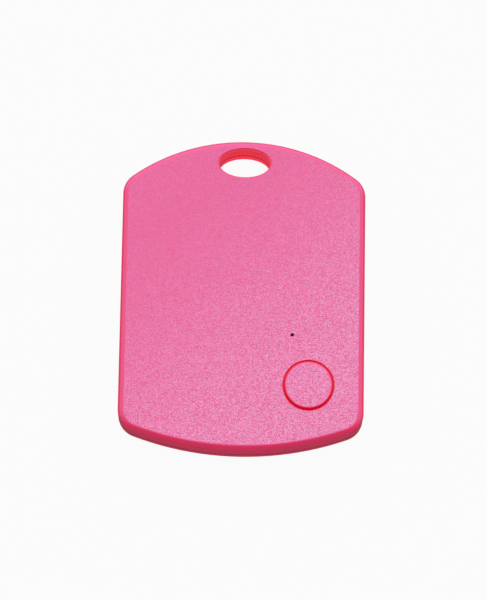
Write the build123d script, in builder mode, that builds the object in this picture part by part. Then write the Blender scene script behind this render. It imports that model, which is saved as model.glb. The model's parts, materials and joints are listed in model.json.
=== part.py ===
"""Bluetooth tracker tag lying on its back.

The back lies on Z = 0 and the face looks up +Z, +Y points to the keyring hole and +X to the button's side.
The origin is on the back, in the middle of the tag's length and width. All sizes are in millimetres.
"""

from build123d import *
import math
import os

os.makedirs("parts", exist_ok=True)

# ---- case: driving dimensions ----
WIDTH = 40.0
LENGTH = 52.4
THICKNESS = 6.0
TOP_ARC = 31.0  # radius of the arched edge beyond the keyring hole
BOTTOM_ARC = 50.9
CORNER = 3.8
FACE_ROUND = 1.1  # rounding between face and side
BACK_ROUND = 0.9
PARTING = 2.4  # height where the two covers meet
FACE_WALL = 1.0
BACK_WALL = 1.0
SIDE_WALL = 1.3

# ---- keyring hole ----
HOLE = (0, 22.33)
HOLE_HALF_WIDTH = 4.2
HOLE_HALF_HEIGHT = 2.36
HOLE_WALL = 1.0
HOLE_RIM = 0.36
SEAM_CHAMFER = 0.08  # on both covers' outer edges where they meet
HOLE_SEAM_CHAMFER = 0.25  # on the front cover's edge inside the hole, where the seam is more open

# ---- gaps between pieces ----
FIT = 0.15  # round a piece that drops into its seat
CLOSE_FIT = 0.05  # round a piece that slides without play
PRESS_FIT = 0.02  # round a piece that is pressed or screwed in

# ---- how the covers meet ----
LIP_GAP = 0.1
LIP_WALL = 0.8
LIP_HEIGHT = 0.9
SEAL_OUTSIDE = 0.5  # from the case's side to the seal's groove
SEAL_GROOVE = 0.45
SEAL_SIZE = 0.35
NOTCH = (8.0, 0.7, 0.7)  # length, depth and height of the slot for prying the case open

# ---- button ----
BUTTON = (10.95, -15.2)
BUTTON_RADIUS = 4.01
BUTTON_GAP = 0.26
BUTTON_PROUD = 0.3
BUTTON_EDGE = 0.4
BUTTON_FLANGE_RADIUS = 5.0
BUTTON_FLANGE = 0.55
BUTTON_LIP = 0.45  # what is left of the face over the flange
COLLAR_WALL = 0.6
COLLAR_DEPTH = 0.8
BUTTON_POST_RADIUS = 0.9

# ---- status light ----
LIGHT = (8.2, -6.8)
LIGHT_RADIUS = 0.3
LIGHT_SHOULDER_RADIUS = 0.8
LIGHT_SHOULDER = 0.5
LIGHT_RECESS = 0.3

# ---- circuit board ----
BOARD_BOTTOM = 2.2
BOARD_THICKNESS = 0.8
BOARD_INSET = 2.5
BOARD_HOLE_GAP = 0.5  # from the wall round the keyring hole
BOARD_CELL_GAP = 1.0
BOARD_OPEN_SIDE = 12.0  # how wide the board is open to the left of the cell
POSTS = [(15.2, 12.3), (-14.3, -7.8), (3.5, -21.7)]
POST_RADIUS = 1.5
SCREW_RADIUS = 0.7
SCREW_HEAD_RADIUS = 1.25
SCREW_HEAD = 0.55
SCREW_HEAD_EDGE = 0.15
SCREW_CROSS = (1.4, 0.3, 0.35)  # length, width and depth of each slot of the cross
SCREW_GRIP = 1.6  # how far a screw runs into its post

# ---- coin cell, type 2032 ----
CELL = (-6.0, 5.5)
CELL_RADIUS = 10.0
CELL_HEIGHT = 3.2
CELL_SHEET = 0.25
CELL_CAP_RADIUS = 8.8
CRADLE_WALL = 0.6
CRADLE_HEIGHT = 1.1
CRADLE_OPENING = 4.6  # gap in the cradle where the positive contact stands
CONTACT_ANGLE = -45  # where round the cell that contact stands

# ---- buzzer ----
BUZZER = (-8.5, -14.5)
BUZZER_RADIUS = 6.2
BUZZER_CERAMIC_RADIUS = 4.3
BUZZER_SHEET = 0.2
BUZZER_TAPE = 0.1
BUZZER_TAPE_WIDTH = 1.0
BUZZER_RING_HEIGHT = 0.5

# ---- push switch ----
SWITCH_SIDE = 4.2
SWITCH_CORNER = 0.3
SWITCH_BODY = 0.9
SWITCH_PLATE = 0.15
SWITCH_FLOOR = 0.2
SWITCH_HEIGHT = 1.2  # board to the top of the plunger
SWITCH_PLUNGER_RADIUS = 0.95
SWITCH_PLUNGER_EDGE = 0.08
SWITCH_COLLAR = 0.25  # how far the plunger's collar reaches out under the plate
SWITCH_COLLAR_HEIGHT = 0.17
SWITCH_WELL_RADIUS = 1.3
TERMINAL = (0.7, 0.6, 0.15)
TERMINAL_SPACING = 2.6

# ---- other components: where they stand, then length, width and height ----
CHIP = (11.3, 3.0)
CHIP_SIZE = (6.0, 6.0, 0.85)
MAIN_CRYSTAL = (9.8, 8.6)
MAIN_CRYSTAL_SIZE = (3.2, 2.5, 0.7)
CLOCK_CRYSTAL = (14.4, 8.3)
CLOCK_CRYSTAL_SIZE = (3.2, 1.5, 0.8)
ANTENNA = (11.8, 16.6)
ANTENNA_SIZE = (7.0, 2.0, 1.2)
LED_SIZE = (1.6, 0.8, 0.6)
BUZZER_DRIVER = (2.3, -13.4)
BUZZER_DRIVER_SIZE = (3.0, 3.0, 0.8)
STORAGE_CAPACITOR = (2.3, -9.6)
STORAGE_CAPACITOR_SIZE = (3.2, 1.6, 1.3)
CAPACITOR_SIZE = (1.0, 0.5, 0.5)
RESISTOR_SIZE = (1.0, 0.5, 0.35)
WIDE_SPACING = 1.9  # between small components, along their length
NARROW_SPACING = 1.2  # and across it
CAPACITORS_FROM_CHIP = 4.6
LIGHT_RESISTOR = (6.6, -3.4)
SWITCH_RESISTORS = (14.3, -7.2)
BUZZER_RESISTORS = (6.6, -20.4)
INDUCTOR = (2.3, -17.6)
INDUCTOR_SIDE = 3.0
INDUCTOR_CORNER = 0.4
INDUCTOR_BASE = 0.25
INDUCTOR_CORE_RADIUS = 1.0
INDUCTOR_CORE_HEIGHT = 1.0
INDUCTOR_TOP = 0.2
PACKAGE_EDGE = 0.06  # broken edge of moulded packages
LID_EDGE = 0.08  # and of drawn metal lids

# ---- contact springs ----
CONTACT_SHEET = 0.15
TOUCH = 0.03  # what is left free where one body's contact meets another body
BUZZER_SPRING_WIDTH = 1.0
NEGATIVE_SPRING_WIDTH = 3.0
POSITIVE_SPRING_WIDTH = 3.2
ARM_RISE = 0.32  # of the negative spring's arm over the cell
CUSHION_RADIUS = 3.5

half_width = WIDTH / 2
half_length = LENGTH / 2
board_top = BOARD_BOTTOM + BOARD_THICKNESS
ceiling = THICKNESS - FACE_WALL
lip_outside = SIDE_WALL + LIP_GAP
lip_inside = lip_outside + LIP_WALL
opening_radius = BUTTON_RADIUS + BUTTON_GAP
cell_bottom = BACK_WALL
cell_top = cell_bottom + CELL_HEIGHT
flange_top = THICKNESS - BUTTON_LIP - CLOSE_FIT
flange_bottom = flange_top - BUTTON_FLANGE


def tag_outline(inset=0.0):
    """The tag's plan outline, moved inwards by inset."""
    top_drop = TOP_ARC - math.sqrt(TOP_ARC**2 - half_width**2)
    bottom_drop = BOTTOM_ARC - math.sqrt(BOTTOM_ARC**2 - half_width**2)
    top_left = (-half_width, half_length - top_drop)
    top_right = (half_width, half_length - top_drop)
    bottom_left = (-half_width, bottom_drop - half_length)
    bottom_right = (half_width, bottom_drop - half_length)
    with BuildSketch() as sketch:
        with BuildLine():
            ThreePointArc(top_left, (0, half_length), top_right)
            Line(top_right, bottom_right)
            ThreePointArc(bottom_right, (0, -half_length), bottom_left)
            Line(bottom_left, top_left)
        make_face()
        fillet(sketch.vertices(), CORNER)
        if inset > 0:
            offset(amount=-inset)
    return sketch.sketch


def hole_outline(grow=0.0):
    """The oval of the keyring hole, or of what surrounds it, larger by grow all round."""
    with BuildSketch() as sketch:
        with Locations(HOLE):
            Ellipse(HOLE_HALF_WIDTH + grow, HOLE_HALF_HEIGHT + grow)
    return sketch.sketch


def standing_plane(point, angle):
    """A vertical plane through point: its x runs outwards at angle from +X, its y is +Z."""
    radians = math.radians(angle)
    outwards = (math.cos(radians), math.sin(radians), 0)
    sideways = (math.sin(radians), -math.cos(radians), 0)
    return Plane(origin=(point[0], point[1], 0), x_dir=outwards, z_dir=sideways)


def seam_edge_in_hole(cover):
    """The keyring hole's edge at the parting line, the shortest oval edge at that height."""
    ovals = cover.edges().filter_by(GeomType.ELLIPSE)
    return ovals.filter_by_position(Axis.Z, PARTING, PARTING).sort_by(SortBy.LENGTH)[0]


def save(builder, label):
    builder.part.label = label
    export_step(builder.part, f"parts/{label}.step")


# ---- front cover: face, side wall down to the parting line, and everything that holds the inside ----
with BuildPart() as front_cover:
    with BuildSketch(Plane.XY.offset(PARTING)):
        add(tag_outline())
    extrude(amount=THICKNESS - PARTING)
    fillet(front_cover.faces().sort_by(Axis.Z)[-1].edges(), FACE_ROUND)
    chamfer(front_cover.faces().sort_by(Axis.Z)[0].edges(), SEAM_CHAMFER)
    with BuildSketch(Plane.XY.offset(PARTING)):
        add(tag_outline(SIDE_WALL))
    extrude(amount=ceiling - PARTING, mode=Mode.SUBTRACT)

    # wall round the keyring hole, and the hole with its rounded rim
    with BuildSketch(Plane.XY.offset(PARTING)):
        add(hole_outline(HOLE_WALL))
    extrude(amount=ceiling - PARTING)
    with BuildSketch(Plane.XY.offset(PARTING)):
        add(hole_outline())
    extrude(amount=THICKNESS - PARTING, mode=Mode.SUBTRACT)
    fillet(front_cover.faces().sort_by(Axis.Z)[-1].inner_wires().edges(), HOLE_RIM)
    chamfer(seam_edge_in_hole(front_cover), HOLE_SEAM_CHAMFER)

    # groove for the seal ring
    with BuildSketch(Plane.XY.offset(PARTING)):
        add(tag_outline(SEAL_OUTSIDE))
        add(tag_outline(SEAL_OUTSIDE + SEAL_GROOVE), mode=Mode.SUBTRACT)
    extrude(amount=SEAL_GROOVE, mode=Mode.SUBTRACT)

    # collar round the button's flange, ring round the buzzer and posts for the board
    with BuildSketch(Plane.XY.offset(ceiling - COLLAR_DEPTH)):
        with Locations(BUTTON):
            Circle(BUTTON_FLANGE_RADIUS + FIT + COLLAR_WALL)
            Circle(BUTTON_FLANGE_RADIUS + FIT, mode=Mode.SUBTRACT)
    extrude(amount=COLLAR_DEPTH)
    with BuildSketch(Plane.XY.offset(ceiling - BUZZER_RING_HEIGHT)):
        with Locations(BUZZER):
            Circle(BUZZER_RADIUS + FIT + COLLAR_WALL)
            Circle(BUZZER_RADIUS + FIT, mode=Mode.SUBTRACT)
    extrude(amount=BUZZER_RING_HEIGHT)
    with BuildSketch(Plane.XY.offset(board_top)):
        with Locations(*POSTS):
            Circle(POST_RADIUS)
    extrude(amount=ceiling - board_top)
    with BuildSketch(Plane.XY.offset(board_top)):
        with Locations(*POSTS):
            Circle(SCREW_RADIUS + PRESS_FIT)
    extrude(amount=SCREW_GRIP + FIT, mode=Mode.SUBTRACT)

    # opening for the button with the seat of its flange, and the pinhole with the seat of its light guide
    with BuildSketch(Plane.XY.offset(ceiling)):
        with Locations(BUTTON):
            Circle(opening_radius)
        with Locations(LIGHT):
            Circle(LIGHT_RADIUS)
    extrude(amount=FACE_WALL, mode=Mode.SUBTRACT)
    with BuildSketch(Plane.XY.offset(ceiling)):
        with Locations(BUTTON):
            Circle(BUTTON_FLANGE_RADIUS + FIT)
    extrude(amount=FACE_WALL - BUTTON_LIP, mode=Mode.SUBTRACT)
    with BuildSketch(Plane.XY.offset(ceiling)):
        with Locations(LIGHT):
            Circle(LIGHT_SHOULDER_RADIUS)
    extrude(amount=LIGHT_SHOULDER, mode=Mode.SUBTRACT)
save(front_cover, "front_cover")

# ---- rear cover: back, lip that goes inside the front cover, cradle for the cell ----
with BuildPart() as rear_cover:
    with BuildSketch():
        add(tag_outline())
    extrude(amount=PARTING)
    fillet(rear_cover.faces().sort_by(Axis.Z)[0].edges(), BACK_ROUND)
    chamfer(rear_cover.faces().sort_by(Axis.Z)[-1].edges(), SEAM_CHAMFER)
    with BuildSketch(Plane.XY.offset(PARTING)):
        add(tag_outline(lip_outside))
    extrude(amount=LIP_HEIGHT)
    with BuildSketch(Plane.XY.offset(BACK_WALL)):
        add(tag_outline(lip_inside))
    extrude(amount=PARTING + LIP_HEIGHT - BACK_WALL, mode=Mode.SUBTRACT)

    # wall round the keyring hole; the lip stops short of the front cover's wall round it
    with BuildSketch(Plane.XY.offset(BACK_WALL)):
        add(hole_outline(HOLE_WALL))
    extrude(amount=PARTING - BACK_WALL)
    with BuildSketch(Plane.XY.offset(PARTING)):
        add(hole_outline(HOLE_WALL + FIT))
    extrude(amount=LIP_HEIGHT, mode=Mode.SUBTRACT)
    with BuildSketch():
        add(hole_outline())
    extrude(amount=PARTING, mode=Mode.SUBTRACT)
    fillet(rear_cover.faces().sort_by(Axis.Z)[0].inner_wires().edges(), HOLE_RIM)
    chamfer(seam_edge_in_hole(rear_cover), SEAM_CHAMFER)

    # cradle round the cell, open where the positive contact stands
    with BuildSketch(Plane.XY.offset(BACK_WALL)):
        with Locations(CELL):
            Circle(CELL_RADIUS + FIT + CRADLE_WALL)
            Circle(CELL_RADIUS + FIT, mode=Mode.SUBTRACT)
        with Locations(Location((CELL[0], CELL[1], 0), (0, 0, CONTACT_ANGLE))):
            Rectangle(half_width, CRADLE_OPENING, align=(Align.MIN, Align.CENTER), mode=Mode.SUBTRACT)
    extrude(amount=CRADLE_HEIGHT)

    # slot for prying the covers apart
    with Locations((-half_width, 0, PARTING)):
        Box(NOTCH[1] * 2, NOTCH[0], NOTCH[2] * 2, mode=Mode.SUBTRACT)
save(rear_cover, "rear_cover")

with BuildPart() as seal_ring:
    with BuildSketch(Plane.XY.offset(PARTING)):
        add(tag_outline(SEAL_OUTSIDE + (SEAL_GROOVE - SEAL_SIZE) / 2))
        add(tag_outline(SEAL_OUTSIDE + (SEAL_GROOVE + SEAL_SIZE) / 2), mode=Mode.SUBTRACT)
    extrude(amount=SEAL_SIZE)
save(seal_ring, "seal_ring")

# ---- button cap: stands proud of the face, held by a flange under the cover ----
with BuildPart() as button_cap:
    with BuildSketch(Plane.XY.offset(flange_bottom)):
        with Locations(BUTTON):
            Circle(BUTTON_RADIUS)
    extrude(amount=THICKNESS + BUTTON_PROUD - flange_bottom)
    fillet(button_cap.faces().sort_by(Axis.Z)[-1].edges(), BUTTON_EDGE)
    with BuildSketch(Plane.XY.offset(flange_bottom)):
        with Locations(BUTTON):
            Circle(BUTTON_FLANGE_RADIUS)
    extrude(amount=BUTTON_FLANGE)
    with BuildSketch(Plane.XY.offset(board_top + SWITCH_HEIGHT + TOUCH)):
        with Locations(BUTTON):
            Circle(BUTTON_POST_RADIUS)
    extrude(until=Until.NEXT)
save(button_cap, "button_cap")

guide_bottom = board_top + LED_SIZE[2] + FIT
with BuildPart() as status_light_guide:
    with BuildSketch(Plane.XY.offset(guide_bottom)):
        with Locations(LIGHT):
            Circle(LIGHT_SHOULDER_RADIUS - PRESS_FIT)
    extrude(amount=ceiling + LIGHT_SHOULDER - guide_bottom)
    with BuildSketch(Plane.XY.offset(ceiling)):
        with Locations(LIGHT):
            Circle(LIGHT_RADIUS - PRESS_FIT)
    extrude(amount=FACE_WALL - LIGHT_RECESS)
save(status_light_guide, "status_light_guide")

# ---- circuit board, open to the left round the cell and cut back at the keyring hole ----
with BuildPart() as circuit_board:
    with BuildSketch(Plane.XY.offset(BOARD_BOTTOM)):
        add(tag_outline(BOARD_INSET))
        add(hole_outline(HOLE_WALL + BOARD_HOLE_GAP), mode=Mode.SUBTRACT)
        with Locations(CELL):
            Circle(CELL_RADIUS + BOARD_CELL_GAP, mode=Mode.SUBTRACT)
            Rectangle(half_width, BOARD_OPEN_SIDE, align=(Align.MAX, Align.CENTER), mode=Mode.SUBTRACT)
        with Locations(*POSTS):
            Circle(SCREW_RADIUS + FIT, mode=Mode.SUBTRACT)
    extrude(amount=BOARD_THICKNESS)
save(circuit_board, "circuit_board")

with BuildPart() as board_screws:
    with BuildSketch(Plane.XY.offset(BOARD_BOTTOM)):
        with Locations(*POSTS):
            Circle(SCREW_HEAD_RADIUS)
    extrude(amount=-SCREW_HEAD)
    chamfer(board_screws.faces().group_by(Axis.Z)[0].edges(), SCREW_HEAD_EDGE)
    with BuildSketch(Plane.XY.offset(BOARD_BOTTOM)):
        with Locations(*POSTS):
            Circle(SCREW_RADIUS)
    extrude(amount=BOARD_THICKNESS + SCREW_GRIP)
    with BuildSketch(Plane.XY.offset(BOARD_BOTTOM - SCREW_HEAD)):
        with Locations(*POSTS):
            Rectangle(SCREW_CROSS[0], SCREW_CROSS[1])
            Rectangle(SCREW_CROSS[1], SCREW_CROSS[0])
    extrude(amount=SCREW_CROSS[2], mode=Mode.SUBTRACT)
save(board_screws, "board_screws")


def block(size, places, edge=0.0):
    """Equal rectangular components standing on the board, with edges broken on top."""
    with BuildPart() as blocks:
        with BuildSketch(Plane.XY.offset(board_top)):
            with Locations(*places):
                Rectangle(size[0], size[1])
        extrude(amount=size[2])
        if edge > 0:
            chamfer(blocks.faces().group_by(Axis.Z)[-1].edges(), edge)
    return blocks


def grid(center, spacing_x, spacing_y, columns, rows):
    """Places of a regular block of small components."""
    left = center[0] - spacing_x * (columns - 1) / 2
    bottom = center[1] - spacing_y * (rows - 1) / 2
    return [
        (left + spacing_x * column, bottom + spacing_y * row)
        for row in range(rows)
        for column in range(columns)
    ]


# ---- components on the board ----
save(block(CHIP_SIZE, [CHIP], PACKAGE_EDGE), "bluetooth_chip")
save(block(MAIN_CRYSTAL_SIZE, [MAIN_CRYSTAL], LID_EDGE), "main_crystal")
save(block(CLOCK_CRYSTAL_SIZE, [CLOCK_CRYSTAL], LID_EDGE), "clock_crystal")
save(block(ANTENNA_SIZE, [ANTENNA]), "chip_antenna")
save(block(LED_SIZE, [LIGHT], PACKAGE_EDGE), "status_led")
save(block(BUZZER_DRIVER_SIZE, [BUZZER_DRIVER], PACKAGE_EDGE), "buzzer_driver_chip")
save(block(STORAGE_CAPACITOR_SIZE, [STORAGE_CAPACITOR], PACKAGE_EDGE), "storage_capacitor")

below_chip = (CHIP[0], CHIP[1] - CAPACITORS_FROM_CHIP)
beside_chip = (CHIP[0] + CAPACITORS_FROM_CHIP, CHIP[1])
capacitors = grid(below_chip, WIDE_SPACING, NARROW_SPACING, 4, 2)
capacitors += grid(beside_chip, NARROW_SPACING, WIDE_SPACING, 1, 3)
save(block(CAPACITOR_SIZE, capacitors, PACKAGE_EDGE), "ceramic_capacitors")

resistors = grid(LIGHT_RESISTOR, WIDE_SPACING, NARROW_SPACING, 1, 1)
resistors += grid(SWITCH_RESISTORS, WIDE_SPACING, NARROW_SPACING, 2, 2)
resistors += grid(BUZZER_RESISTORS, WIDE_SPACING, NARROW_SPACING, 1, 3)
save(block(RESISTOR_SIZE, resistors), "chip_resistors")

with BuildPart() as boost_inductor:
    with BuildSketch(Plane.XY.offset(board_top)):
        with Locations(INDUCTOR):
            RectangleRounded(INDUCTOR_SIDE, INDUCTOR_SIDE, INDUCTOR_CORNER)
    extrude(amount=INDUCTOR_BASE)
    with BuildSketch(Plane.XY.offset(board_top)):
        with Locations(INDUCTOR):
            Circle(INDUCTOR_CORE_RADIUS)
    extrude(amount=INDUCTOR_CORE_HEIGHT)
    with BuildSketch(Plane.XY.offset(board_top + INDUCTOR_CORE_HEIGHT)):
        with Locations(INDUCTOR):
            RectangleRounded(INDUCTOR_SIDE, INDUCTOR_SIDE, INDUCTOR_CORNER)
    extrude(amount=INDUCTOR_TOP)
save(boost_inductor, "boost_inductor")

# ---- push switch under the button ----
switch_plate_bottom = board_top + SWITCH_BODY - SWITCH_PLATE
with BuildPart() as switch_housing:
    with BuildSketch(Plane.XY.offset(board_top)):
        with Locations(BUTTON):
            RectangleRounded(SWITCH_SIDE, SWITCH_SIDE, SWITCH_CORNER)
    extrude(amount=SWITCH_BODY - SWITCH_PLATE)
    with BuildSketch(Plane.XY.offset(board_top + SWITCH_FLOOR)):
        with Locations(BUTTON):
            Circle(SWITCH_WELL_RADIUS)
    extrude(amount=SWITCH_BODY, mode=Mode.SUBTRACT)
save(switch_housing, "switch_housing")

with BuildPart() as switch_plate:
    with BuildSketch(Plane.XY.offset(switch_plate_bottom)):
        with Locations(BUTTON):
            RectangleRounded(SWITCH_SIDE, SWITCH_SIDE, SWITCH_CORNER)
            Circle(SWITCH_PLUNGER_RADIUS + CLOSE_FIT, mode=Mode.SUBTRACT)
    extrude(amount=SWITCH_PLATE)
save(switch_plate, "switch_plate")

plunger_top = board_top + SWITCH_HEIGHT
plunger_bottom = switch_plate_bottom - TOUCH - SWITCH_COLLAR_HEIGHT
with BuildPart() as switch_plunger:
    with BuildSketch(Plane.XY.offset(plunger_bottom)):
        with Locations(BUTTON):
            Circle(SWITCH_PLUNGER_RADIUS)
    extrude(amount=plunger_top - plunger_bottom)
    chamfer(switch_plunger.faces().sort_by(Axis.Z)[-1].edges(), SWITCH_PLUNGER_EDGE)
    with BuildSketch(Plane.XY.offset(plunger_bottom)):
        with Locations(BUTTON):
            Circle(SWITCH_PLUNGER_RADIUS + SWITCH_COLLAR)
    extrude(amount=SWITCH_COLLAR_HEIGHT)
save(switch_plunger, "switch_plunger")

with BuildPart() as switch_terminals:
    with BuildSketch(Plane.XY.offset(board_top)):
        with Locations(BUTTON):
            with GridLocations(SWITCH_SIDE + TERMINAL[0], TERMINAL_SPACING, 2, 2):
                Rectangle(TERMINAL[0], TERMINAL[1])
    extrude(amount=TERMINAL[2])
save(switch_terminals, "switch_terminals")

# ---- buzzer: ceramic disc on a brass disc, taped to the inside of the face ----
with BuildPart() as buzzer_tape:
    with BuildSketch(Plane.XY.offset(ceiling - BUZZER_TAPE)):
        with Locations(BUZZER):
            Circle(BUZZER_RADIUS)
            Circle(BUZZER_RADIUS - BUZZER_TAPE_WIDTH, mode=Mode.SUBTRACT)
    extrude(amount=BUZZER_TAPE)
save(buzzer_tape, "buzzer_tape")

plate_bottom = ceiling - BUZZER_TAPE - BUZZER_SHEET
with BuildPart() as buzzer_plate:
    with BuildSketch(Plane.XY.offset(plate_bottom)):
        with Locations(BUZZER):
            Circle(BUZZER_RADIUS)
    extrude(amount=BUZZER_SHEET)
save(buzzer_plate, "buzzer_plate")

with BuildPart() as buzzer_ceramic:
    with BuildSketch(Plane.XY.offset(plate_bottom - BUZZER_SHEET)):
        with Locations(BUZZER):
            Circle(BUZZER_CERAMIC_RADIUS)
    extrude(amount=BUZZER_SHEET)
save(buzzer_ceramic, "buzzer_ceramic")


def leaf(plane, points, width):
    """A strip bent along points in plane, width across; the points run along its middle."""
    with BuildPart() as strip:
        with BuildSketch(plane):
            with BuildLine():
                path = Polyline(*points)
                offset(path, amount=CONTACT_SHEET / 2)
            make_face()
        extrude(amount=width / 2, both=True)
    return strip.part


# each strip is a run of (distance from the middle of what it touches, height) from end to end
half_sheet = CONTACT_SHEET / 2
foot = board_top + half_sheet
plate_touch = plate_bottom - half_sheet - PRESS_FIT
ceramic_touch = plate_touch - BUZZER_SHEET
plate_rim = BUZZER_RADIUS - 0.9
plate_spring = [(plate_rim, plate_touch), (plate_rim - 0.6, plate_touch - 0.2), (3.4, foot), (2.0, foot)]
ceramic_spring = [(0.2, ceramic_touch), (0.9, ceramic_touch - 0.1), (2.6, foot), (4.2, foot)]
with BuildPart() as buzzer_contacts:
    add(leaf(standing_plane(BUZZER, 0), ceramic_spring, BUZZER_SPRING_WIDTH))
    add(leaf(standing_plane(BUZZER, 60), plate_spring, BUZZER_SPRING_WIDTH))
save(buzzer_contacts, "buzzer_contacts")

# ---- contacts of the cell, soldered to the board ----
board_edge = CELL_RADIUS + BOARD_CELL_GAP
arm = cell_top + ARM_RISE
touching_cap = (1.6, cell_top + TOUCH + half_sheet)
negative_foot = [(board_edge + 2.6, foot), (board_edge + 0.6, foot)]
negative_arm = [(board_edge + 0.1, arm), (3.6, arm), touching_cap, (0.6, arm - 0.1)]
with BuildPart() as negative_contact:
    add(leaf(standing_plane(CELL, 0), negative_foot + negative_arm, NEGATIVE_SPRING_WIDTH))
save(negative_contact, "negative_contact")

finger = CELL_RADIUS + TOUCH + half_sheet
positive_foot = [(board_edge + 1.9, foot), (finger + 0.6, foot)]
positive_finger = [(finger, foot - 0.5), (finger, cell_bottom + 0.5)]
with BuildPart() as positive_contact:
    add(leaf(standing_plane(CELL, CONTACT_ANGLE), positive_foot + positive_finger, POSITIVE_SPRING_WIDTH))
save(positive_contact, "positive_contact")

with BuildPart() as cell_cushion:
    with BuildSketch(Plane.XY.offset(arm + half_sheet)):
        with Locations(CELL):
            Circle(CUSHION_RADIUS)
    extrude(amount=ceiling - arm - half_sheet)
save(cell_cushion, "cell_cushion")


# ---- coin cell: each piece is a profile of (radius, height above the cell's base) turned about its axis ----
def save_turned(label, profile):
    with BuildPart() as body:
        with BuildSketch(standing_plane(CELL, 0)):
            with Locations((0, cell_bottom)):
                Polygon(*profile)
        revolve(axis=Axis((CELL[0], CELL[1], 0), (0, 0, 1)))
    save(body, label)


sheet = CELL_SHEET
cap_radius = CELL_CAP_RADIUS
cap_rim = cap_radius + 0.35  # the cap's foot, turned outwards
crimp = CELL_HEIGHT - 0.15  # the can's edge, rolled in over the gasket
can_inside = CELL_RADIUS - sheet
can_edge = cap_radius + 0.45
cathode_top = sheet + 1.75
separator_top = cathode_top + 0.1
cap_foot = separator_top + 0.05
cap_foot_top = cap_foot + sheet
cap_inside = CELL_HEIGHT - sheet
save_turned("cell_can", [
    (0, 0), (CELL_RADIUS - 0.35, 0), (CELL_RADIUS - 0.1, 0.1), (CELL_RADIUS, 0.35),
    (CELL_RADIUS, crimp - 0.6), (CELL_RADIUS - 0.15, crimp - 0.2), (can_edge, crimp),
    (can_edge, crimp - sheet),
    (can_inside - 0.1, crimp - sheet - 0.2), (can_inside, crimp - 0.7), (can_inside, sheet), (0, sheet),
])
save_turned("cell_cap", [
    (0, cap_inside), (cap_radius - sheet, cap_inside), (cap_radius - sheet, cap_foot), (cap_rim, cap_foot),
    (cap_rim, cap_foot_top), (cap_radius, cap_foot_top), (cap_radius, CELL_HEIGHT - 0.15),
    (cap_radius - 0.15, CELL_HEIGHT), (0, CELL_HEIGHT),
])
save_turned("cell_gasket", [
    (cap_radius + PRESS_FIT, cap_foot_top + PRESS_FIT), (cap_rim + PRESS_FIT, cap_foot_top + PRESS_FIT),
    (cap_rim + PRESS_FIT, separator_top), (can_inside - PRESS_FIT, separator_top),
    (can_inside - PRESS_FIT, crimp - sheet - 0.5), (can_edge, crimp - sheet - 0.1),
    (can_edge - CLOSE_FIT, crimp + PRESS_FIT), (cap_radius + PRESS_FIT, crimp + PRESS_FIT),
])


def save_disc(label, radius, bottom, top):
    save_turned(label, [(0, bottom), (radius, bottom), (radius, top), (0, top)])


save_disc("cell_cathode", CELL_RADIUS - 0.8, sheet, cathode_top)
save_disc("cell_separator", CELL_RADIUS - 0.6, cathode_top, separator_top)
save_disc("cell_anode", cap_radius - 0.5, separator_top, cap_inside)
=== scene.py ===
"""Looks of the Bluetooth tracker tag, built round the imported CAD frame. Lengths are in metres."""

import json
import math
import random

import bpy
import bmesh
from mathutils import Matrix, Vector
from mathutils.bvhtree import BVHTree


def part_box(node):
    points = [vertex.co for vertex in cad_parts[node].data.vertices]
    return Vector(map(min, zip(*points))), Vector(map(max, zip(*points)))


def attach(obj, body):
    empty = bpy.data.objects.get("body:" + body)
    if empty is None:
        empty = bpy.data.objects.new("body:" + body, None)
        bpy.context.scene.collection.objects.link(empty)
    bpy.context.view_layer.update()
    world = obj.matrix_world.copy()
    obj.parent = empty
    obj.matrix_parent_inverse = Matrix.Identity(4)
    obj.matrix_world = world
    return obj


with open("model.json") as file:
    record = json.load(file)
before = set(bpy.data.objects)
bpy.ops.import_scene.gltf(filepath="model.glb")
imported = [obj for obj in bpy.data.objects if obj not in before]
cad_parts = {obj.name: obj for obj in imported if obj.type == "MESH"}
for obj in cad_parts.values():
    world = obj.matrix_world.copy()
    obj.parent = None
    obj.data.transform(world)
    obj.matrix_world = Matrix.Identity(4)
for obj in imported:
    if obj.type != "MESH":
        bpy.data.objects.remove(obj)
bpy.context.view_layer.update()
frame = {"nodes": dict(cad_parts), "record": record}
nodes = frame["nodes"]
MM = 0.001



def box_mm(node):
    """The lowest and highest corner of a CAD node, in millimetres."""
    return [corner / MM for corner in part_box(node)]


def middle_of(node):
    low, high = box_mm(node)
    return (low + high) / 2


case_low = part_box("rear_cover")[0]
case_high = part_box("front_cover")[1]
face_height = case_high.z
case_middle = (case_low + case_high) / 2

# in millimetres
mounts = {mount["name"]: mount for mount in frame["record"]["mounts"]}
HOLE = Vector(mounts["keyring_hole"]["pos_m"]) / MM
HOLE_HALF = (4.2, 2.36)  # half width and half height of the keyring hole's oval
GROOVE = (4.01, 4.27)  # radii of the button and of its opening
TOP = face_height / MM
SEAM_HEIGHT = box_mm("front_cover")[0].z
button_middle = middle_of("button_cap")
FLANGE = box_mm("button_cap")[1].x - button_middle.x  # radius of the button's flange, under the cover
PAINTED_GLOW = 0.11  # strength of the painted glow (emission) that stands in for light coming through the thin walls


# ---- camera, floor and light ----
CAMERA_DISTANCE = 0.572
CAMERA_LENS = 208.6  # with the 36 mm sensor along the frame's long side
CAMERA_TILT = math.radians(14.6)  # from straight above, towards -Y
CAMERA_ROLL = math.radians(1.04)
CAMERA_YAW = math.radians(0.26)
CAMERA_OFFSET = (0.16 * MM, -0.29 * MM)  # of the view's middle from the case's middle, right and up

# the soft tent: along an axis, from one direction to another, its brightness goes from one value to another
TENT = (("Y", -0.65, 0.05, 0.16, 0.96), ("Y", 0.05, 1.0, 1.0, 1.4), ("Z", -0.15, 0.1, 0.1, 1.0))
PANEL_PLACE = (0.0, 0.04, 0.7)
PANEL_SIZE = (0.25, 0.25)
PANEL_POWER = 1.4
FLOOR_HALF = 1.5
FLOOR_DROP = 0.01 * MM  # keeps the floor and the back from sharing a plane
CARD_DROP = 0.1 * MM
FLOOR_BRIGHTNESS = 0.945
CARD_BRIGHTNESS = 1.35


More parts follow.
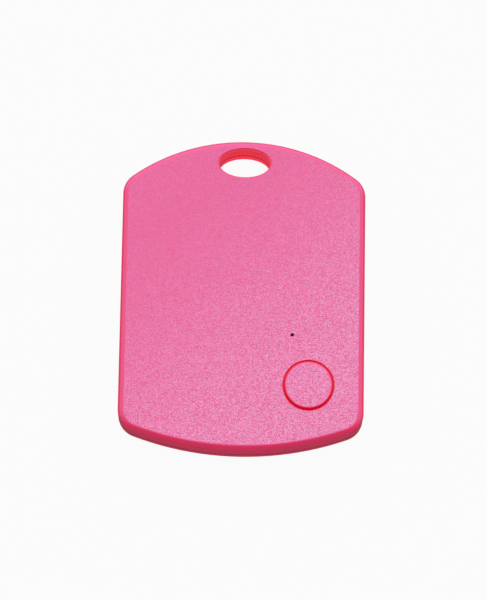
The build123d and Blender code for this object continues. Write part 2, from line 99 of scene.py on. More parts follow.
def make_camera():
    turn = (
        Matrix.Rotation(-CAMERA_ROLL, 3, "Z")
        @ Matrix.Rotation(CAMERA_YAW, 3, "Y")
        @ Matrix.Rotation(-CAMERA_TILT, 3, "X")
    )
    to_world = turn.transposed()
    data = bpy.data.cameras.new("camera")
    data.lens = CAMERA_LENS
    data.sensor_width = 36.0
    data.clip_start = 0.05
    data.clip_end = 10.0
    camera = bpy.data.objects.new("camera", data)
    bpy.context.scene.collection.objects.link(camera)
    place = case_middle + to_world @ Vector((CAMERA_OFFSET[0], CAMERA_OFFSET[1], CAMERA_DISTANCE))
    camera.matrix_world = Matrix.Translation(place) @ to_world.to_4x4()
    bpy.context.scene.camera = camera


def area_light(name, place, target, size, power):
    data = bpy.data.lights.new(name, "AREA")
    data.shape = "RECTANGLE"
    data.size, data.size_y = size
    data.energy = power
    light = bpy.data.objects.new(name, data)
    bpy.context.scene.collection.objects.link(light)
    light.location = place
    light.rotation_mode = "QUATERNION"
    light.rotation_quaternion = (Vector(target) - Vector(place)).to_track_quat("-Z", "Y")


def flat_square(name, half, height, brightness):
    """A level square that glows evenly and returns hardly any light of its own."""
    mesh = bpy.data.meshes.new(name)
    corners = [(x * half, y * half, height) for x, y in ((-1, -1), (1, -1), (1, 1), (-1, 1))]
    mesh.from_pydata(corners, [], [(0, 1, 2, 3)])
    square = bpy.data.objects.new(name, mesh)
    bpy.context.scene.collection.objects.link(square)
    square.visible_glossy = False
    material = bpy.data.materials.new(name)
    material.use_nodes = True
    shader = material.node_tree.nodes["Principled BSDF"]
    shader.inputs["Base Color"].default_value = (0.02, 0.02, 0.02, 1)
    shader.inputs["Roughness"].default_value = 1.0
    shader.inputs["Specular IOR Level"].default_value = 0.0
    shader.inputs["Emission Color"].default_value = (1, 1, 1, 1)
    shader.inputs["Emission Strength"].default_value = brightness
    mesh.materials.append(material)
    return square


def make_floor():
    """A plain pale floor for the camera, and a brighter card just below it that lights the tag from below."""
    floor = flat_square("floor", FLOOR_HALF, -FLOOR_DROP, FLOOR_BRIGHTNESS)
    floor.visible_diffuse = False
    card = flat_square("card", FLOOR_HALF, -CARD_DROP, CARD_BRIGHTNESS)
    card.visible_camera = False


def make_light():
    """A soft tent, brightest behind the tag and dark in front of it and below, and one soft panel above."""
    world = bpy.data.worlds.new("studio")
    world.use_nodes = True
    tree = world.node_tree
    direction = tree.nodes.new("ShaderNodeTexCoord")
    parts = tree.nodes.new("ShaderNodeSeparateXYZ")
    tree.links.new(direction.outputs["Generated"], parts.inputs[0])
    brightness = None
    for axis, start, end, low, high in TENT:
        level = tree.nodes.new("ShaderNodeMapRange")
        level.interpolation_type = "SMOOTHSTEP"
        for socket, number in zip(level.inputs[1:5], (start, end, low, high)):
            socket.default_value = number
        tree.links.new(parts.outputs[axis], level.inputs[0])
        product = tree.nodes.new("ShaderNodeMath")
        product.operation = "MULTIPLY"
        product.inputs[1].default_value = 1.0
        tree.links.new(level.outputs[0], product.inputs[0])
        if brightness is not None:
            tree.links.new(brightness, product.inputs[1])
        brightness = product.outputs[0]
    background = tree.nodes["Background"]
    background.inputs["Color"].default_value = (1, 1, 1, 1)
    tree.links.new(brightness, background.inputs["Strength"])
    bpy.context.scene.world = world
    area_light("panel_above", PANEL_PLACE, (0, 0, 0), PANEL_SIZE, PANEL_POWER)
    bpy.context.scene.view_settings.view_transform = "Standard"


make_camera()
make_floor()
make_light()


# ---- materials ----
class Material:
    """A material with one Principled shader and short ways to add and link nodes."""

    def __init__(self, name):
        self.material = bpy.data.materials.new(name)
        self.material.use_nodes = True
        self.tree = self.material.node_tree
        self.shader = self.tree.nodes["Principled BSDF"]

    def node(self, kind, **settings):
        made = self.tree.nodes.new(kind)
        for key, value in settings.items():
            setattr(made, key, value)
        return made

    def link(self, source, target):
        self.tree.links.new(source, target)

    def set(self, **values):
        for key, value in values.items():
            socket = self.shader.inputs[key.replace("_", " ")]
            socket.default_value = value

    def place_mm(self):
        """Object coordinates in millimetres."""
        coordinates = self.node("ShaderNodeTexCoord")
        scale = self.node("ShaderNodeVectorMath", operation="SCALE")
        scale.inputs["Scale"].default_value = 1 / MM
        self.link(coordinates.outputs["Object"], scale.inputs[0])
        return scale.outputs[0]

    def surface(self):
        """The place in millimetres, and the parts of the place and of the surface's normal."""
        place = self.place_mm()
        at = self.node("ShaderNodeSeparateXYZ")
        self.link(place, at.inputs[0])
        normal = self.node("ShaderNodeSeparateXYZ")
        self.link(self.node("ShaderNodeTexCoord").outputs["Normal"], normal.inputs[0])
        return place, at.outputs, normal.outputs

    def noise(self, place, size_mm, detail=2.0, roughness=0.5):
        texture = self.node("ShaderNodeTexNoise")
        texture.inputs["Scale"].default_value = 1 / size_mm
        texture.inputs["Detail"].default_value = detail
        texture.inputs["Roughness"].default_value = roughness
        self.link(place, texture.inputs["Vector"])
        return texture.outputs["Fac"]

    def cells(self, place, size_mm):
        """A random number from 0 to 1 for each small cell."""
        texture = self.node("ShaderNodeTexVoronoi")
        texture.inputs["Scale"].default_value = 1 / size_mm
        self.link(place, texture.inputs["Vector"])
        parts = self.node("ShaderNodeSeparateColor")
        self.link(texture.outputs["Color"], parts.inputs[0])
        return parts.outputs["Red"]

    def band(self, value, low, high, to_low=0.0, to_high=1.0):
        """value mapped from low..high to to_low..to_high, held at the ends."""
        mapped = self.node("ShaderNodeMapRange", interpolation_type="SMOOTHSTEP")
        for socket, number in zip(mapped.inputs[1:5], (low, high, to_low, to_high)):
            socket.default_value = number
        self.link(value, mapped.inputs[0])
        return mapped.outputs[0]

    def math(self, operation, first, second):
        made = self.node("ShaderNodeMath", operation=operation)
        for socket, value in zip(made.inputs, (first, second)):
            if isinstance(value, (int, float)):
                socket.default_value = value
            else:
                self.link(value, socket)
        return made.outputs[0]

    def length(self, first, second):
        """The distance from 0, 0 of the point first, second."""
        squares = self.math("ADD", self.math("MULTIPLY", first, first), self.math("MULTIPLY", second, second))
        return self.math("SQRT", squares, 0.0)

    def mix_color(self, factor, first, second):
        made = self.node("ShaderNodeMix", data_type="RGBA")
        sockets = [s for s in made.inputs if s.enabled]
        for socket, value in zip(sockets, (factor, first, second)):
            if isinstance(value, (int, float, tuple)):
                socket.default_value = value
            else:
                self.link(value, socket)
        return [s for s in made.outputs if s.enabled][0]

    def bump(self, height, distance_mm, strength=1.0):
        made = self.node("ShaderNodeBump")
        made.inputs["Strength"].default_value = strength
        made.inputs["Distance"].default_value = distance_mm * MM
        self.link(height, made.inputs["Height"])
        self.link(made.outputs["Normal"], self.shader.inputs["Normal"])


def color(red, green, blue):
    return (red, green, blue, 1.0)


# the case's colours
CRIMSON = color(0.93, 0.02, 0.09)  # rounded edges and walls
TOP_EDGE_PAINTED_SHEEN = color(0.90, 0.05, 0.17)  # rounded edges that face the arched end, painted paler pink for the sheen of the light from above
FACE_DARK = color(0.92, 0.04, 0.14)  # between the sparks of the textured faces
# the flakes' own paler tone, with their sparkle painted in as colour
FACE_FLAKE_AND_SPARKLE = color(0.955, 0.295, 0.44)
# painted shade: a deeper, darker red on the groove's walls
GROOVE_PAINTED_SHADE = color(0.80, 0.004, 0.02)
# painted shadow: the dark line in the gap where the two covers meet
SEAM_SHADOW_COLOR = color(0.42, 0.003, 0.01)
HOLE_PAINTED_GLOW = color(1.0, 0.15, 0.21)  # painted glow (emission) in the hole's wall, standing in for light that comes through it
# painted glow (emission) in the button's groove
GROOVE_PAINTED_GLOW = color(1.0, 0.01, 0.07)
HAZE = color(0.15, 0.5, 1.0)  # the bluish sheen over the pink
CASE_IOR = 1.8
GRAIN = 0.24  # millimetres from bump to bump of the spark texture
SPARK = 0.13  # millimetres across one spark
RELIEF = 0.15  # depth of the texture in the bump
FLAT = (0.985, 0.998)  # a normal's upright part, from rounding to flat face


def seam_painted_shadow(m, height, upright):
    """1 in the painted shadow of the gap where the two covers meet, on upright walls only."""
    from_seam = m.math("ABSOLUTE", m.math("SUBTRACT", height, SEAM_HEIGHT), 0.0)
    return m.math("MULTIPLY", m.band(from_seam, 0.34, 0.16), m.band(upright, 0.6, 0.3))


def case_plastic():
    """Pink plastic: pearly spark texture on the flat faces, with the sparkle painted in as colour, satin
    gloss on the rounded edges and walls, a painted sheen on the edges that face the arched end, and the
    painted shadow of the seam.
    """
    m = Material("case_pink")
    place, at, normal = m.surface()
    upright = m.math("ABSOLUTE", normal["Z"], 0.0)
    from_middle = m.math("ABSOLUTE", m.math("SUBTRACT", at["Z"], case_middle.z / MM), 0.0)
    outside = m.band(from_middle, TOP / 2 - 0.06, TOP / 2 - 0.02)
    textured = m.math("MULTIPLY", m.band(upright, *FLAT), outside)

    # the flakes' paler tone and their painted sparkle grow stronger towards the corner with the button
    grain = m.noise(place, GRAIN, detail=2.0, roughness=0.6)
    flakes = m.band(m.cells(place, SPARK), 0.15, 1.0)
    diagonal = m.math("SUBTRACT", m.math("MULTIPLY", at["X"], 0.8), at["Y"])
    flakes_and_painted_sparkle = m.math("MULTIPLY", flakes, m.band(diagonal, -26.0, 32.0, 0.15, 1.2))
    pale = m.mix_color(flakes_and_painted_sparkle, FACE_DARK, FACE_FLAKE_AND_SPARKLE)
    # painted sheen: rounded edges that face the arched end are paler pink, as if lit from above
    painted_top_sheen = m.math("MULTIPLY", m.band(normal["Y"], -0.05, 0.35), m.band(upright, 0.05, 0.5))
    smooth = m.mix_color(painted_top_sheen, CRIMSON, TOP_EDGE_PAINTED_SHEEN)
    # painted shadow of the gap where the two covers meet
    smooth = m.mix_color(seam_painted_shadow(m, at["Z"], upright), smooth, SEAM_SHADOW_COLOR)
    m.link(m.mix_color(textured, smooth, pale), m.shader.inputs["Base Color"])
    m.link(m.band(textured, 0.0, 1.0, 0.28, 0.38), m.shader.inputs["Roughness"])
    m.bump(m.math("MULTIPLY", m.math("SUBTRACT", grain, 0.5), textured), RELIEF)
    m.set(IOR=CASE_IOR, Specular_IOR_Level=1.0, Specular_Tint=HAZE)
    return m.material


def thin_plastic():
    """The thin walls in the keyring hole and the button's groove: a painted crimson glow (emission) stands in
    for light coming through them, and the groove is painted a deeper, darker red for its shade.
    """
    m = Material("case_pink_thin")
    place, at, normal = m.surface()
    upright = m.math("ABSOLUTE", normal["Z"], 0.0)
    across = m.math("DIVIDE", m.math("SUBTRACT", at["X"], HOLE.x), HOLE_HALF[0])
    along = m.math("DIVIDE", m.math("SUBTRACT", at["Y"], HOLE.y), HOLE_HALF[1])
    in_hole = m.band(m.length(across, along), 1.12, 1.02)
    in_groove = m.band(at["Y"], HOLE.y / 2, HOLE.y / 2 - 1.0)
    # painted shadow of the seam, which also dims the painted glow below
    seam = seam_painted_shadow(m, at["Z"], upright)
    # the groove is painted a deeper, darker red for its shade
    base = m.mix_color(in_groove, CRIMSON, GROOVE_PAINTED_SHADE)
    m.link(m.mix_color(seam, base, SEAM_SHADOW_COLOR), m.shader.inputs["Base Color"])
    m.link(m.band(m.noise(place, 0.5), 0.3, 0.7, 0.25, 0.31), m.shader.inputs["Roughness"])
    # the painted glow is twice as strong near the face
    rim_glow_gain = m.band(at["Z"], TOP - 1.5, TOP, 1.0, 2.0)
    glow = m.math("MAXIMUM", m.math("MULTIPLY", in_hole, rim_glow_gain), m.math("MULTIPLY", in_groove, 0.75))
    # painted glow: emission standing in for light that comes through the thin walls, dimmed in the seam's
    # painted shadow
    m.link(m.mix_color(in_groove, HOLE_PAINTED_GLOW, GROOVE_PAINTED_GLOW), m.shader.inputs["Emission Color"])
    m.link(m.math("MULTIPLY", m.math("MULTIPLY", glow, m.band(seam, 0.0, 1.0, 1.0, 0.45)), PAINTED_GLOW),
           m.shader.inputs["Emission Strength"])
    m.set(IOR=CASE_IOR, Specular_IOR_Level=0.1, Specular_Tint=HAZE)
    return m.material


def is_thin_wall(polygon):
    """True in the keyring hole and between the button and its opening, but not on the flat faces."""
    middle = polygon.center / MM
    across = (middle.x - HOLE.x) / HOLE_HALF[0]
    along = (middle.y - HOLE.y) / HOLE_HALF[1]
    level = abs(polygon.normal.z)  # 0 on an upright wall, 1 on a flat face
    in_hole = math.hypot(across, along) < 1.2 and level < 0.7
    from_button = (middle.xy - button_middle.xy).length
    in_ring = GROOVE[0] - 0.25 < from_button < FLANGE and polygon.normal.z > -0.1
    sunken = middle.z < TOP - 0.1
    return in_hole or (in_ring and (level < 0.85 or sunken))


def plain(name, base, roughness, metallic=0.0, grain_mm=0.4, tone=0.12, relief_mm=0.004):
    """A small part's material: base colour with slight mottling and a faint surface grain."""
    m = Material(name)
    place = m.place_mm()
    mottle = m.noise(place, grain_mm, detail=3.0)
    darker = tuple(c * (1 - tone) for c in base) + (1.0,)
    m.link(m.mix_color(mottle, darker, color(*base)), m.shader.inputs["Base Color"])
    m.link(m.band(mottle, 0.3, 0.7, roughness * 0.85, roughness * 1.15), m.shader.inputs["Roughness"])
    m.set(Metallic=metallic)
    m.bump(m.noise(place, grain_mm / 3, detail=2.0), relief_mm)
    return m.material


def smoked_plastic():
    m = Material("smoked_clear")
    place = m.place_mm()
    shade = m.mix_color(m.noise(place, 0.2), color(0.008, 0.0005, 0.001), color(0.025, 0.002, 0.003))
    m.link(shade, m.shader.inputs["Base Color"])
    m.set(Roughness=0.6, Specular_IOR_Level=0.1)
    return m.material


def turned_metal(name, base, middle, roughness=0.3):
    """Metal with fine rings round an upright axis, as pressed and polished sheet has."""
    m = Material(name)
    at = m.node("ShaderNodeSeparateXYZ")
    place = m.place_mm()
    m.link(place, at.inputs[0])
    across, along = (m.math("SUBTRACT", at.outputs[axis], start) for axis, start in zip("XY", middle))
    radius = m.length(across, along)
    ring_place = m.node("ShaderNodeCombineXYZ")
    m.link(radius, ring_place.inputs["X"])
    m.link(at.outputs["Z"], ring_place.inputs["Z"])
    rings = m.noise(ring_place.outputs[0], 0.12, detail=4.0, roughness=0.7)
    smudge = m.noise(place, 3.0, detail=3.0)
    darker = tuple(c * 0.82 for c in base) + (1.0,)
    m.link(m.mix_color(rings, darker, color(*base)), m.shader.inputs["Base Color"])
    smudged = m.band(smudge, 0.35, 0.7, roughness - 0.08, roughness)
    m.link(m.math("ADD", m.band(rings, 0.3, 0.7, 0.0, 0.1), smudged), m.shader.inputs["Roughness"])
    m.set(Metallic=1.0)
    m.bump(rings, 0.008)
    return m.material


WEAVE = 0.8  # millimetres for two threads of the board's glass cloth


def solder_mask():
    """Green lacquer over woven glass: a faint weave, and paler areas of copper under the lacquer."""
    m = Material("board_green")
    place = m.place_mm()
    at = m.node("ShaderNodeSeparateXYZ")
    m.link(place, at.inputs[0])
    turns = 2 * math.pi / WEAVE
    threads = [m.math("SINE", m.math("MULTIPLY", at.outputs[axis], turns), 0.0) for axis in "XY"]
    weave = m.math("MULTIPLY", *threads)
    copper = m.band(m.noise(place, 7.0, detail=0.0), 0.47, 0.485)
    ground = m.mix_color(m.band(weave, -1.0, 1.0), color(0.008, 0.085, 0.035), color(0.012, 0.11, 0.048))
    m.link(m.mix_color(copper, ground, color(0.02, 0.17, 0.07)), m.shader.inputs["Base Color"])
    m.link(m.band(m.noise(place, 0.8), 0.3, 0.7, 0.25, 0.38), m.shader.inputs["Roughness"])
    m.bump(m.math("ADD", m.math("MULTIPLY", weave, 0.3), copper), 0.02)
    return m.material


def foam():
    m = Material("foam_black")
    place = m.place_mm()
    pores = m.cells(place, 0.25)
    shade = m.mix_color(pores, color(0.012, 0.012, 0.012), color(0.05, 0.05, 0.052))
    m.link(shade, m.shader.inputs["Base Color"])
    m.set(Roughness=0.9)
    m.bump(pores, 0.08)
    return m.material


case = case_plastic()
solder = plain("solder", (0.70, 0.70, 0.70), 0.25, metallic=1.0, relief_mm=0.01)
tinned = plain("tinned", (0.75, 0.74, 0.72), 0.3, metallic=1.0)
gold = plain("gold", (0.95, 0.70, 0.32), 0.22, metallic=1.0)
copper_wire = plain("copper_wire", (0.72, 0.30, 0.14), 0.25, metallic=1.0)
steel = plain("switch_steel", (0.68, 0.67, 0.64), 0.28, metallic=1.0)
white_ink = plain("white_ink", (0.80, 0.80, 0.77), 0.6, relief_mm=0.002)
track = plain("copper_under_mask", (0.022, 0.19, 0.08), 0.3)
chip_epoxy = plain("chip_epoxy", (0.018, 0.018, 0.02), 0.5, grain_mm=0.2)
chip_mark = plain("chip_mark", (0.06, 0.06, 0.062), 0.35)
cell_metal = turned_metal("cell_steel", (0.72, 0.71, 0.69), middle_of("cell_can"))
looks = {
    case: ["front_cover", "rear_cover", "button_cap"],
    smoked_plastic(): ["status_light_guide"],
    plain("silicone_red", (0.45, 0.05, 0.10), 0.6, relief_mm=0.01): ["seal_ring"],
    solder_mask(): ["circuit_board"],
    plain("screw_zinc", (0.62, 0.63, 0.66), 0.3, metallic=1.0): ["board_screws"],
    chip_epoxy: ["bluetooth_chip", "buzzer_driver_chip"],
    plain("crystal_lid", (0.74, 0.72, 0.66), 0.28, metallic=1.0): ["main_crystal", "clock_crystal"],
    plain("antenna_ceramic", (0.78, 0.80, 0.80), 0.4): ["chip_antenna"],
    plain("led_epoxy", (0.86, 0.82, 0.62), 0.25): ["status_led"],
    plain("tantalum_yellow", (0.72, 0.42, 0.05), 0.45): ["storage_capacitor"],
    plain("capacitor_tan", (0.36, 0.22, 0.13), 0.45): ["ceramic_capacitors"],
    plain("resistor_black", (0.025, 0.025, 0.03), 0.3): ["chip_resistors"],
    plain("ferrite", (0.07, 0.07, 0.075), 0.6): ["boost_inductor"],
    plain("switch_black", (0.02, 0.02, 0.02), 0.5): ["switch_housing"],
    steel: ["switch_plate"],
    tinned: ["switch_terminals"],
    plain("plunger_white", (0.78, 0.78, 0.75), 0.45): ["switch_plunger"],
    plain("tape", (0.70, 0.66, 0.52), 0.7): ["buzzer_tape"],
    turned_metal("brass", (0.86, 0.62, 0.25), middle_of("buzzer_plate")): ["buzzer_plate"],
    plain("piezo_silver", (0.83, 0.82, 0.79), 0.45, metallic=0.8): ["buzzer_ceramic"],
    gold: ["buzzer_contacts"],
    plain("nickel_spring", (0.72, 0.69, 0.62), 0.25, metallic=1.0): ["negative_contact", "positive_contact"],
    foam(): ["cell_cushion"],
    cell_metal: ["cell_can", "cell_cap"],
    plain("gasket_grey", (0.33, 0.33, 0.35), 0.5): ["cell_gasket"],
    plain("cathode", (0.02, 0.02, 0.02), 0.9): ["cell_cathode"],
    plain("separator", (0.85, 0.85, 0.83), 0.8): ["cell_separator"],
    plain("lithium", (0.55, 0.55, 0.56), 0.35, metallic=1.0): ["cell_anode"],
}
for material, names in looks.items():
    for name in names:
        nodes[name].data.materials.clear()
        nodes[name].data.materials.append(material)
thin_case = thin_plastic()
for name in looks[case]:
    mesh = nodes[name].data
    mesh.materials.append(thin_case)
    for polygon in mesh.polygons:
        polygon.material_index = 1 if is_thin_wall(polygon) else 0


# ---- detail pieces: each is one mesh that rides on a body; lengths below are in millimetres ----
THIN = 0.015  # height of ink, tracks and bare pads
PAD_PROUD = 0.005  # of vias and test pads over their tracks
board_low, board_high = box_mm("circuit_board")
chip_box = box_mm("bluetooth_chip")
driver_box = box_mm("buzzer_driver_chip")


def finish_piece(name, shape, material, body):
    bmesh.ops.recalc_face_normals(shape, faces=shape.faces)
    bmesh.ops.scale(shape, vec=(MM, MM, MM), verts=shape.verts)
    mesh = bpy.data.meshes.new(name)
    shape.to_mesh(mesh)
    shape.free()
    mesh.materials.append(material)
    piece = bpy.data.objects.new(name, mesh)
    bpy.context.scene.collection.objects.link(piece)
    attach(piece, body)


def add_box(shape, low, high):
    size = [b - a for a, b in zip(low, high)]
    middle = [(a + b) / 2 for a, b in zip(low, high)]
    matrix = Matrix.Translation(middle) @ Matrix.Diagonal((*size, 1))
    bmesh.ops.create_cube(shape, size=1, matrix=matrix)


def add_disc(shape, x, y, bottom, top, radius, sides=24):
    matrix = Matrix.Translation((x, y, (bottom + top) / 2))
    bmesh.ops.create_cone(shape, cap_ends=True, segments=sides, radius1=radius, radius2=radius,
                          depth=top - bottom, matrix=matrix)


def add_turned(shape, x, y, profile, sides=48):
    """A closed ring: profile is a closed run of (radius, height)."""
    rows = []
    for step in range(sides):
        angle = 2 * math.pi * step / sides
        east, north = math.cos(angle), math.sin(angle)
        rows.append([shape.verts.new((x + r * east, y + r * north, z)) for r, z in profile])
    for step in range(sides):
        here, following = rows[step], rows[(step + 1) % sides]
        for k in range(len(profile)):
            j = (k + 1) % len(profile)
            shape.faces.new((here[k], following[k], following[j], here[j]))


def square_ring(inner, outer, bottom, top):
    """The profile of a ring with a rectangular section, for add_turned."""
    return ((inner, bottom), (outer, bottom), (outer, top), (inner, top))


def add_wedge(shape, near, far, y0, y1, bottom, top):
    """A fillet of solder that falls from top at x = near to bottom at x = far."""
    corners = [(x, y, z) for y in (y0, y1) for x, z in ((near, bottom), (far, bottom), (near, top))]
    a, b, c, d, e, f = [shape.verts.new(corner) for corner in corners]
    for loop in ((a, b, c), (d, f, e), (a, d, e, b), (b, e, f, c), (c, f, d, a)):
        shape.faces.new(loop)


def add_strip(shape, start, end, width, bottom, top):
    """A flat bar from one point to another."""
    along = Vector(end) - Vector(start)
    middle = (Vector(start) + Vector(end)) / 2
    matrix = (
        Matrix.Translation((middle.x, middle.y, (bottom + top) / 2))
        @ Matrix.Rotation(math.atan2(along.y, along.x), 4, "Z")
        @ Matrix.Diagonal((along.length + width, width, top - bottom, 1))
    )
    bmesh.ops.create_cube(shape, size=1, matrix=matrix)


def solid_boxes(node):
    """The lowest and highest corner of every separate solid of a CAD node, in millimetres."""
    shape = bmesh.new()
    shape.from_mesh(nodes[node].data)
    bmesh.ops.remove_doubles(shape, verts=shape.verts, dist=1e-7)
    waiting = set(shape.verts)
    boxes = []
    while waiting:
        reached = [waiting.pop()]
        corners = []
        while reached:
            vert = reached.pop()
            corners.append(vert.co / MM)
            for edge in vert.link_edges:
                other = edge.other_vert(vert)
                if other in waiting:
                    waiting.remove(other)
                    reached.append(other)
        boxes.append((Vector(map(min, zip(*corners))), Vector(map(max, zip(*corners)))))
    shape.free()
    return sorted(boxes, key=lambda box: (round(box[0].x, 3), round(box[0].y, 3)))


board_tree = BVHTree.FromObject(nodes["circuit_board"], bpy.context.evaluated_depsgraph_get())


def on_board(x, y, margin):
    """True if the board reaches margin beyond the point on every side."""
    for step in range(8):
        angle = math.pi * step / 4
        above = Vector((x + margin * math.cos(angle), y + margin * math.sin(angle), board_high.z + 1)) * MM
        if board_tree.ray_cast(above, Vector((0, 0, -1)))[0] is None:
            return False
    return True


def end_caps_and_solder():
    """Metal ends of the small components, and the solder that runs up them."""
    caps = bmesh.new()
    fillets = bmesh.new()
    proud = 0.012  # of the metal over the component's body
    solder_rise = 0.7  # of the component's height
    cap_and_fillet = {
        "ceramic_capacitors": (0.22, 0.2),
        "chip_resistors": (0.2, 0.18),
        "status_led": (0.3, 0.22),
        "storage_capacitor": (0.5, 0.3),
    }
    for node, (cap, run) in cap_and_fillet.items():
        for low, high in solid_boxes(node):
            solder_top = low.z + (high.z - low.z) * solder_rise
            for edge, inwards in ((low.x, 1), (high.x, -1)):
                x0, x1 = sorted((edge - inwards * proud, edge + inwards * cap))
                add_box(caps, (x0, low.y - proud, low.z), (x1, high.y + proud, high.z + proud))
                near = edge - inwards * proud
                add_wedge(fillets, near, near - inwards * run, low.y, high.y, low.z, solder_top)
    finish_piece("component_end_caps", caps, tinned, "front_case")
    finish_piece("solder_fillets", fillets, solder, "front_case")


def chip_pads():
    """A row of pads along each side of the two chips, and tracks that fan out from the larger one."""
    pads = bmesh.new()
    tracks = bmesh.new()
    pad_length, track_width, via_radius = 0.25, 0.1, 0.16
    board_edge = 0.3  # what stays bare along the board's edge
    fan = 1.25  # how much further apart the tracks end than they start
    bottom, top = board_high.z, board_high.z + THIN
    for (low, high), count, track_length in ((chip_box, 12, 1.3), (driver_box, 4, 0.8)):
        middle = (low + high) / 2
        reach = (high.x - low.x) / 2
        pitch = reach * 1.7 / count
        for side in range(4):
            turn = Matrix.Rotation(side * math.pi / 2, 2)
            for k in range(count):
                offset = pitch * (k - (count - 1) / 2)
                inner = turn @ Vector((reach, offset)) + middle.xy
                outer = turn @ Vector((reach + pad_length, offset)) + middle.xy
                add_strip(pads, inner, outer, pitch / 2, bottom, top)
                end = turn @ Vector((reach + track_length, offset * fan)) + middle.xy
                if k % 2 == 0 and on_board(end.x, end.y, board_edge):
                    add_strip(tracks, outer, end, track_width, bottom, top)
                    add_disc(pads, end.x, end.y, bottom, top + PAD_PROUD, via_radius, 16)
    finish_piece("chip_pads", pads, gold, "front_case")
    finish_piece("fan_out_tracks", tracks, track, "front_case")


def board_underside():
    """Tracks with a bend, vias and a row of round test pads on the side that faces the rear cover."""
    tracks = bmesh.new()
    pads = bmesh.new()
    top, bottom = board_low.z, board_low.z - THIN
    track_width, bent_run = 0.15, 0.8
    via = square_ring(0.14, 0.26, top, bottom - PAD_PROUD)
    seeded = random.Random(7)
    for _ in range(60):
        x = seeded.uniform(board_low.x, board_high.x)
        y = seeded.uniform(board_low.y, board_high.y)
        run = seeded.uniform(1.5, 4.0)
        side = seeded.choice((-1, 1))
        bend = (x + run, y)
        end = (x + run + bent_run, y + side * bent_run)
        if all(on_board(px, py, 0.6) for px, py in ((x, y), bend, end, (x + run / 2, y))):
            add_strip(tracks, (x, y), bend, track_width, bottom, top)
            add_strip(tracks, bend, end, track_width, bottom, top)
            for px, py in ((x, y), end):
                add_turned(pads, px, py, via, 16)
    pad_radius, pad_spacing = 0.5, 1.5
    y = chip_box[0].y - 7.5
    for k in range(8):
        x = chip_box[0].x + pad_spacing * (k - 1)
        if on_board(x, y, 0.7):
            add_disc(pads, x, y, bottom - PAD_PROUD, top, pad_radius)
    finish_piece("underside_tracks", tracks, track, "front_case")
    finish_piece("test_pads_and_vias", pads, gold, "front_case")


def ink_outlines():
    """White printed frames round the larger components, open in the middle of each side."""
    ink = bmesh.new()
    gap, line = 0.45, 0.1
    for node in ("bluetooth_chip", "main_crystal", "clock_crystal", "buzzer_driver_chip", "boost_inductor",
                 "switch_housing", "chip_antenna"):
        low, high = box_mm(node)
        corners = [(low.x - gap, low.y - gap), (high.x + gap, low.y - gap),
                   (high.x + gap, high.y + gap), (low.x - gap, high.y + gap)]
        for corner, following in zip(corners, corners[1:] + corners[:1]):
            middle = (Vector(corner) + Vector(following)) / 2
            for end in (corner, following):
                towards_middle = Vector(end).lerp(middle, 0.6)
                if on_board(*end, line) and on_board(*towards_middle, line):
                    add_strip(ink, end, towards_middle, line, board_high.z, board_high.z + THIN / 2)
    finish_piece("printed_outlines", ink, white_ink, "front_case")


def inductor_winding():
    """Round copper wire, turn over turn on the inductor's core."""
    low, high = box_mm("boost_inductor")
    wire = 0.09  # radius
    base, core_radius = 0.25, 1.0  # of the inductor's foot and core
    turns = 4
    winding = bmesh.new()
    for k in range(turns):
        height = low.z + base + wire + 2 * wire * k
        section = []
        for corner in range(8):
            angle = corner * math.pi / 4
            section.append((core_radius + wire + wire * math.cos(angle), height + wire * math.sin(angle)))
        add_turned(winding, (low.x + high.x) / 2, (low.y + high.y) / 2, section, 32)
    finish_piece("inductor_winding", winding, copper_wire, "front_case")


def switch_rivets():
    rivets = bmesh.new()
    plate_top = box_mm("switch_plate")[1].z
    apart, height, radius = 1.6, 0.06, 0.28
    for x in (-apart, apart):
        for y in (-apart, apart):
            add_disc(rivets, button_middle.x + x, button_middle.y + y, plate_top, plate_top + height, radius)
    finish_piece("switch_rivets", rivets, steel, "front_case")


def first_pin_dots():
    dots = bmesh.new()
    from_corner, height, radius = 0.55, 0.004, 0.22
    for low, high in (chip_box, driver_box):
        add_disc(dots, low.x + from_corner, high.y - from_corner, high.z, high.z + height, radius)
    finish_piece("first_pin_dots", dots, chip_mark, "front_case")


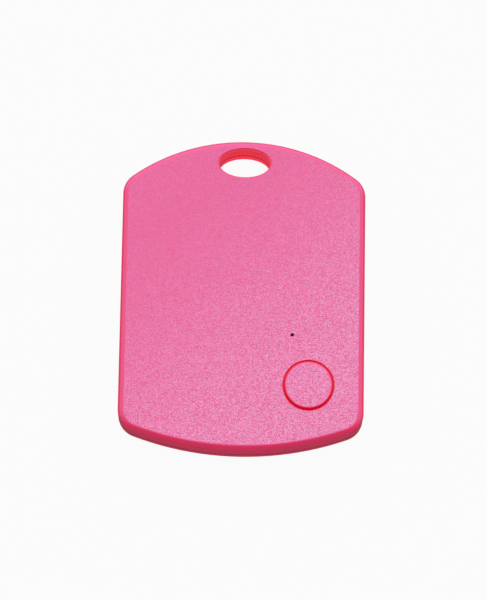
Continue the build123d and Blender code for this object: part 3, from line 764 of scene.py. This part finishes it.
def spring_and_switch_pads():
    """Soldered pads under the foot of the negative spring and under the switch's terminals."""
    pads = bmesh.new()
    bottom, top = board_high.z, board_high.z + THIN
    foot_length, foot_margin, terminal_margin = 1.9, Vector((0.35, 0.3)), Vector((0.2, 0.2))
    low, high = box_mm("negative_contact")
    foot_low = (high.x - foot_length, low.y - foot_margin.y)
    add_box(pads, (*foot_low, bottom), (*(high.xy + foot_margin), top))
    for low, high in solid_boxes("switch_terminals"):
        add_box(pads, (*(low.xy - terminal_margin), bottom), (*(high.xy + terminal_margin), top))
    finish_piece("spring_and_switch_pads", pads, solder, "front_case")


def cell_pressed_rings():
    rings = bmesh.new()
    cell = middle_of("cell_can")
    top = box_mm("cell_cap")[1].z
    width, height = 0.2, 0.02
    for radius in (7.4, 7.9):
        ridge = ((radius, top), (radius + width, top), (radius + width / 2, top + height))
        add_turned(rings, cell.x, cell.y, ridge, 96)
    finish_piece("cell_pressed_rings", rings, cell_metal, "rear_case")


REAR_FLOOR = box_mm("cell_can")[0].z  # height of the rear cover's inside


def rear_cover_ribs():
    """A grid of stiffening ribs below the board."""
    ribs = bmesh.new()
    rib_top = REAR_FLOOR + 0.55
    half_rib = 0.3
    half_grid, grid_low, grid_high = 17.4, -20.5, -7.5
    for y in (-9.0, -13.0, -17.0):
        add_box(ribs, (-half_grid, y - half_rib, REAR_FLOOR), (half_grid, y + half_rib, rib_top))
    for x in (-12.0, -4.0, 4.0, 12.0):
        add_box(ribs, (x - half_rib, grid_low, REAR_FLOOR), (x + half_rib, grid_high, rib_top))
    finish_piece("rear_cover_ribs", ribs, case, "rear_case")


def mould_marks():
    """Round marks where pins pushed the rear cover out of its mould."""
    marks = bmesh.new()
    mark = square_ring(1.1, 1.2, REAR_FLOOR, REAR_FLOOR + 0.03)
    for x, y in ((-8.0, -11.0), (8.0, -11.0), (-8.0, -19.0), (8.0, -15.0), (14.5, 15.5), (13.5, 1.0)):
        add_turned(marks, x, y, mark)
    finish_piece("mould_marks", marks, case, "rear_case")


end_caps_and_solder()
chip_pads()
board_underside()
ink_outlines()
inductor_winding()
switch_rivets()
first_pin_dots()
spring_and_switch_pads()
cell_pressed_rings()
rear_cover_ribs()
mould_marks()
